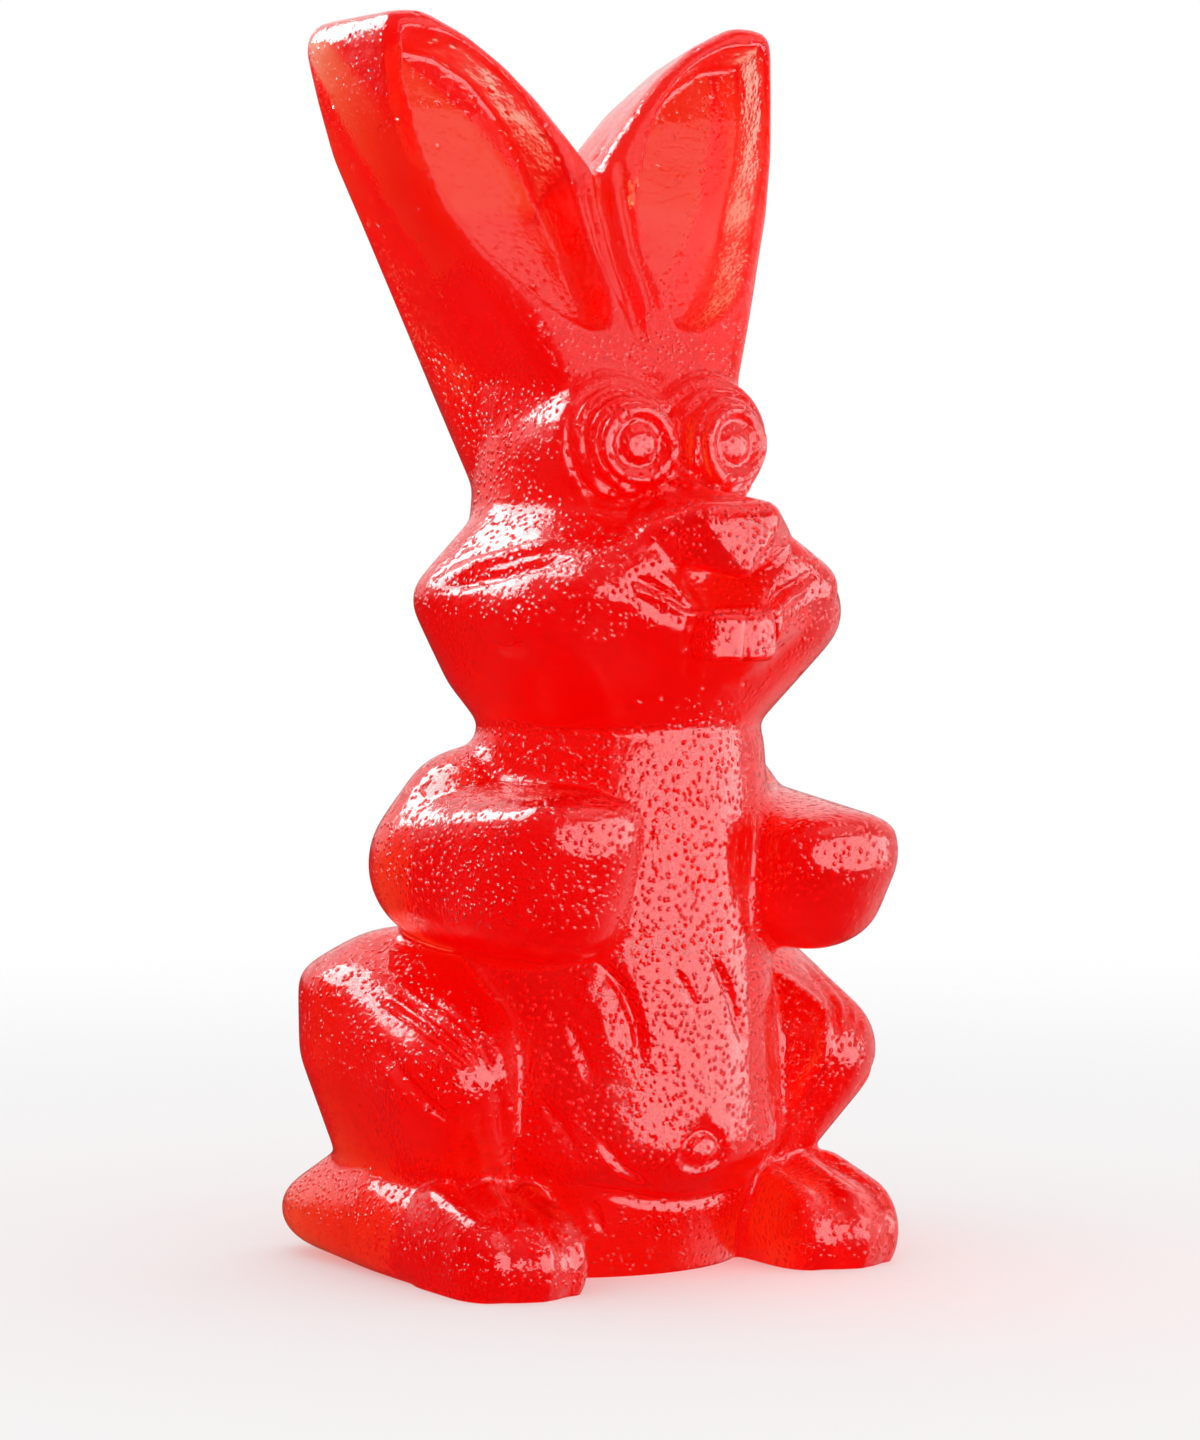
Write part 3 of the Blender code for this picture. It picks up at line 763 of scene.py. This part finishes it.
def spots(tree, place, spacing, radius):
    """Round spots, 1 in the middle and 0 outside, scattered through space."""
    cells = add(tree, "ShaderNodeTexVoronoi", {"Vector": place}, Scale=per_mm(spacing),
                Randomness=1.0)
    return add(tree, "ShaderNodeMapRange", {"Value": cells.outputs["Distance"]},
               interpolation_type="SMOOTHSTEP", From_Min=0.0, From_Max=radius / spacing,
               To_Min=1.0, To_Max=0.0).outputs["Result"]


jelly = bpy.data.materials.new("red_gelatine_jelly_moulded")
jelly.use_nodes = True
tree = jelly.node_tree
tree.nodes.clear()
place = add(tree, "ShaderNodeTexCoord").outputs["Object"]
bead = spots(tree, place, BEAD_SPACING, BEAD_RADIUS)
bubble = spots(tree, place, BUBBLE_SPACING, BUBBLE_RADIUS)
print("beads on a square centimetre, about:", round(200 * BEAD_RADIUS / BEAD_SPACING ** 3))

# %% Where the beads are
SMOOTH_Z = (122, 150)       # mm; between these heights the beads thin out up the ears
EAR_BEADS = 0.2             # of their height that is left on the ears
UNDERSIDE = (-0.6, -0.1)    # z of the skin's normal, from facing down to facing sideways
UNDER_BEADS = 0.1           # of their height that is left where the skin faces down

height = add(tree, "ShaderNodeSeparateXYZ", {"Vector": place}).outputs["Z"]
low_down = add(tree, "ShaderNodeMapRange", {"Value": height}, From_Min=SMOOTH_Z[0] * MM,
               From_Max=SMOOTH_Z[1] * MM, To_Min=1.0, To_Max=EAR_BEADS).outputs["Result"]
facing = add(tree, "ShaderNodeTexCoord").outputs["Normal"]
upward = add(tree, "ShaderNodeSeparateXYZ", {"Vector": facing}).outputs["Z"]
not_under = add(tree, "ShaderNodeMapRange", {"Value": upward}, interpolation_type="SMOOTHSTEP",
                From_Min=UNDERSIDE[0], From_Max=UNDERSIDE[1], To_Min=UNDER_BEADS,
                To_Max=1.0).outputs["Result"]
share = add(tree, "ShaderNodeMath", {0: low_down, 1: not_under}, operation="MULTIPLY")
bead = add(tree, "ShaderNodeMath", {0: bead, 1: share.outputs["Value"]},
           operation="MULTIPLY").outputs["Value"]
print("beads fade from", SMOOTH_Z[0], "to", SMOOTH_Z[1], "mm up")

# %% [markdown]
# ## Skin
#
# Under the beads the skin isn't quite even. It swells a little where the jelly shrank as it set,
# and it has fine ripples. The beads have to follow these waves, so each bump takes the one
# before it as its base, from the broadest to the finest.

# %% Four bumps, each on the one before
SWELL_SPACING = 9.0         # mm from wave to wave
SWELL_HEIGHT = 0.4          # mm
RIPPLE_SPACING = 2.2        # mm
RIPPLE_HEIGHT = 0.14        # mm

swell = add(tree, "ShaderNodeTexNoise", {"Vector": place}, Scale=per_mm(SWELL_SPACING),
            Detail=1.0).outputs["Fac"]
ripple = add(tree, "ShaderNodeTexNoise", {"Vector": place}, Scale=per_mm(RIPPLE_SPACING),
             Detail=2.0).outputs["Fac"]
base = {}
for relief, size, sunken in (
    (swell, SWELL_HEIGHT, False),
    (ripple, RIPPLE_HEIGHT, False),
    (bubble, BUBBLE_DEPTH, True),
    (bead, BEAD_HEIGHT, False),
):
    step = add(tree, "ShaderNodeBump", {"Height": relief, **base}, Distance=size * MM,
               Strength=1.0, invert=sunken)
    base = {"Normal": step.outputs["Normal"]}
print("bumps:", len([n for n in tree.nodes if n.type == "BUMP"]))

# %% Clear jelly with a wet gloss
# To the eye it is wet and clear: glints with soft edges, and a colour that comes from deep
# inside. The roughness drifts between damp and nearly dry, which keeps the glints uneven. The
# faint red glow stands for light that runs round inside for longer than the renderer follows
# it, and it is too weak to be worth sampling as a lamp.
JELLY_IOR = 1.42            # gelatine with sugar syrup
SMEAR_SPACING = 12.0        # mm between damp patches
DAMP, DRIER = 0.10, 0.20    # roughness
INNER_GLOW = 0.05

smear = add(tree, "ShaderNodeTexNoise", {"Vector": place}, Scale=per_mm(SMEAR_SPACING),
            Detail=2.0)
gloss = add(tree, "ShaderNodeMapRange", {"Value": smear.outputs["Fac"]}, From_Min=0.3,
            From_Max=0.7, To_Min=DAMP, To_Max=DRIER)
surface = add(tree, "ShaderNodeBsdfPrincipled", {"Roughness": gloss.outputs["Result"], **base},
              Base_Color=linear("#FFFFFF"), IOR=JELLY_IOR, Transmission_Weight=1.0,
              Emission_Color=linear("#FF0000"), Emission_Strength=INNER_GLOW)
dye = add(tree, "ShaderNodeVolumeAbsorption", Color=DYE, Density=DYE_DENSITY)
add(tree, "ShaderNodeOutputMaterial", {"Surface": surface.outputs["BSDF"],
                                       "Volume": dye.outputs["Volume"]})
jelly.cycles.emission_sampling = "NONE"
print("nodes in the jelly:", len(tree.nodes))

# %% The bunny takes the solid's place
bunny.data.materials.clear()
bunny.data.materials.append(jelly)
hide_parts("gummy_bunny")
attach(bunny, "root")

# %% [markdown]
# ## Floor
#
# The bunny stands on a round sheet of matt white paper. A sheet with a hard rim would show as a
# line behind the bunny, so this one fades into the white air. The glints and the light inside
# the jelly pass it by, and meet the room below it, whose colour is easier to tune. It casts no
# shadow either, so that it can't block the low light in front.

# %% A sheet that fades away
FLOOR_R = 0.5               # m
FLOOR_SOLID_R = 0.2         # m; up to here the paper is solid
FLOOR_GONE_R = 0.48         # m; from here it can't be seen
FLOOR_GLOW = 0.22           # evens out the light on the paper

bpy.ops.mesh.primitive_circle_add(vertices=96, radius=FLOOR_R, fill_type="NGON")
floor = bpy.context.object
floor.name = "floor"
floor.visible_glossy = False
floor.visible_shadow = False
floor.visible_transmission = False
paper = bpy.data.materials.new("matt_white_paper")
paper.use_nodes = True
sheet = paper.node_tree
sheet.nodes.clear()
spot = add(sheet, "ShaderNodeTexCoord")
far = add(sheet, "ShaderNodeVectorMath", {0: spot.outputs["Object"]}, operation="LENGTH")
fade = add(sheet, "ShaderNodeMapRange", {"Value": far.outputs["Value"]},
           interpolation_type="SMOOTHSTEP", From_Min=FLOOR_SOLID_R, From_Max=FLOOR_GONE_R)
matt = add(sheet, "ShaderNodeBsdfPrincipled", Base_Color=linear("#DADADA"), Roughness=0.9,
           Specular_IOR_Level=0.0, Emission_Color=linear("#FFFFFF"),
           Emission_Strength=FLOOR_GLOW)
gone = add(sheet, "ShaderNodeBsdfTransparent")
blend = add(sheet, "ShaderNodeMixShader", {0: fade.outputs["Result"], 1: matt.outputs["BSDF"],
                                           2: gone.outputs["BSDF"]})
add(sheet, "ShaderNodeOutputMaterial", {"Surface": blend.outputs["Shader"]})
floor.data.materials.append(paper)
print("floor, in m:", 2 * FLOOR_R, "across; solid up to", 2 * FLOOR_SOLID_R)

# %% [markdown]
# ## Room
#
# Clear jelly shows what is behind it and mirrors what is round it, so the room is half of the
# look. It could be built of walls and cards, but a few soft steps in the world's light are
# easier to tune. To look at, the room is white. Seen through the jelly it is a little greyer,
# and warm low down, where paper would be lit through red jelly. In the glints it is dark, as a
# studio is in front of its table, but for the pale backdrop behind the bunny, a pale wall on its
# left and faint light from above. All of it is fixed in the room, and a ray's kind and direction
# say what it meets: moving the camera changes nothing.

# %% Directions
CAMERA_AZIMUTH = -32.0      # degrees; the camera looks from the front and the bunny's right
CAMERA_ELEVATION = 3.0


def direction(azimuth, elevation):
    """From the bunny outwards: azimuth 0 is straight in front, and positive goes to its left."""
    a, e = math.radians(azimuth), math.radians(elevation)
    return Vector((math.sin(a) * math.cos(e), -math.cos(a) * math.cos(e), math.sin(e)))


print("towards the camera:", [round(v, 3) for v in direction(CAMERA_AZIMUTH, CAMERA_ELEVATION)])

# %% Soft steps across the room
BACKDROP_SIDE = -direction(CAMERA_AZIMUTH, 0)   # the backdrop stands opposite the camera

world = bpy.data.worlds.new("studio")
bpy.context.scene.world = world
world.use_nodes = True
air = world.node_tree
air.nodes.clear()
way = add(air, "ShaderNodeTexCoord").outputs["Generated"]
to_left, _, up = add(air, "ShaderNodeSeparateXYZ", {"Vector": way}).outputs
to_back = add(air, "ShaderNodeVectorMath", {0: way, 1: BACKDROP_SIDE},
              operation="DOT_PRODUCT").outputs["Value"]
steps = {}
# Each step: its way, the two places on it where the step starts and ends, and the levels there.
for name, part, start, end, at_start, at_end in (
    ("backdrop", to_back, 0.2, 0.6, 0.0, 1.0),
    ("above the floor", up, -0.05, 0.2, 0.0, 1.0),
    ("left wall", to_left, 0.6, 0.95, 0.0, 0.8),
    ("sky", up, 0.15, 0.95, 0.03, 0.3),
    ("below", up, -0.12, -0.4, 0.0, 1.0),
):
    steps[name] = add(air, "ShaderNodeMapRange", {"Value": part},
                      interpolation_type="SMOOTHSTEP", From_Min=start, From_Max=end,
                      To_Min=at_start, To_Max=at_end).outputs["Result"]
print("soft steps:", ", ".join(steps))

# %% What each ray meets
ROOM_WHITE = linear("#FFFFFF")
THROUGH_JELLY = linear("#EEEEEE")   # a little greyer than the room
WARM_BELOW = linear("#EE8C84")      # coral, as paper is under red jelly

backdrop = add(air, "ShaderNodeMath", {0: steps["backdrop"], 1: steps["above the floor"]},
               operation="MULTIPLY")
pale = add(air, "ShaderNodeMath", {0: backdrop.outputs["Value"], 1: steps["left wall"]},
           operation="MAXIMUM")
in_glints = add(air, "ShaderNodeMath", {0: pale.outputs["Value"], 1: steps["sky"]},
                operation="ADD")
through = add(air, "ShaderNodeMix", {0: steps["below"], 6: THROUGH_JELLY, 7: WARM_BELOW},
              data_type="RGBA")
ray = add(air, "ShaderNodeLightPath").outputs
seen = add(air, "ShaderNodeMix", {0: ray["Is Transmission Ray"], 6: ROOM_WHITE,
                                  7: through.outputs[2]}, data_type="RGBA")
bounced = add(air, "ShaderNodeMath", {0: ray["Is Glossy Ray"], 1: ray["Is Transmission Ray"]},
              operation="SUBTRACT", use_clamp=True)
room = add(air, "ShaderNodeMix", {0: bounced.outputs["Value"], 6: seen.outputs[2],
                                  7: in_glints.outputs["Value"]}, data_type="RGBA")
glow = add(air, "ShaderNodeBackground", {"Color": room.outputs[2]}, Strength=1.0)
add(air, "ShaderNodeOutputWorld", {"Surface": glow.outputs["Background"]})
print("nodes in the air:", len(air.nodes))

# %% How far light is followed
BOUNCES = 16                # light crosses the jelly's skin many times before it comes out

bpy.context.scene.view_settings.view_transform = "Standard"
cycles = bpy.context.scene.cycles
cycles.max_bounces = cycles.transmission_bounces = cycles.glossy_bounces = BOUNCES
print("bounces:", cycles.max_bounces)

# %% [markdown]
# ## Soft lights
#
# A sweet this glossy is lit by large soft lights, because a bare bulb would leave only hard dots.
# A wide oval one stands low and close in front, to the right of the camera, and lays the pale
# veil down the chest, muzzle and paws. A weak one hangs over it. A small bright one, high behind
# on the bunny's right, makes the beads on cheek, shoulder and foot glitter. They light the bunny
# alone, and the camera doesn't see them.


# %% Three soft panels
PANEL_AIM = Vector((0, 0, 0.09))        # m; the middle of the bunny


def panel(name, azimuth, elevation, distance, width, height, radiance):
    """A soft oval light panel that looks at the middle of the bunny."""
    light = bpy.data.lights.new(name, "AREA")
    light.shape = "ELLIPSE"
    light.size, light.size_y = width, height
    oval = width * height * math.pi / 4
    light.energy = radiance * math.pi * oval    # an evenly bright sheet gives off this power
    lamp = bpy.data.objects.new(name, light)
    bpy.context.scene.collection.objects.link(lamp)
    out = direction(azimuth, elevation)
    lamp.location = PANEL_AIM + out * distance
    lamp.rotation_mode = "QUATERNION"
    lamp.rotation_quaternion = out.to_track_quat("Z", "Y")
    lamp.visible_camera = False
    lamp.visible_transmission = False
    lamp.light_linking.receiver_collection = lit
    return lamp


lit = bpy.data.collections.new("lit by the panels")
lit.objects.link(bunny)
# Degrees of azimuth and elevation; distance, width and height in m; radiance.
panel("front panel", 26, -4, 0.25, 0.64, 0.23, 6.3)
panel("top panel", 30, 50, 0.4, 0.5, 0.3, 1.3)
panel("rim panel", -147, 40, 0.39, 0.3, 0.28, 13)

# %% [markdown]
# ## Camera
#
# From close by, a wide lens would swell the face and shrink the ears. A long lens from further
# off keeps their sizes true, so the camera stands 0.7 m away and looks a little down, from the
# bunny's right.

# %% Camera
CAMERA_AIM = Vector((0, 0.002, 0.078))  # m
CAMERA_DISTANCE = 0.7                   # m
LENS = 121.5                            # mm, on a frame that is 36 mm high

camera_data = bpy.data.cameras.new("camera")
camera = bpy.data.objects.new("camera", camera_data)
bpy.context.scene.collection.objects.link(camera)
back = direction(CAMERA_AZIMUTH, CAMERA_ELEVATION)
camera.location = CAMERA_AIM + back * CAMERA_DISTANCE
camera.rotation_mode = "QUATERNION"
camera.rotation_quaternion = back.to_track_quat("Z", "Y")
camera_data.sensor_width = 36.0
camera_data.lens = LENS
camera_data.clip_start, camera_data.clip_end = 0.01, 20.0
bpy.context.scene.camera = camera
print("camera at, in mm:", [round(v * 1000) for v in camera.location])
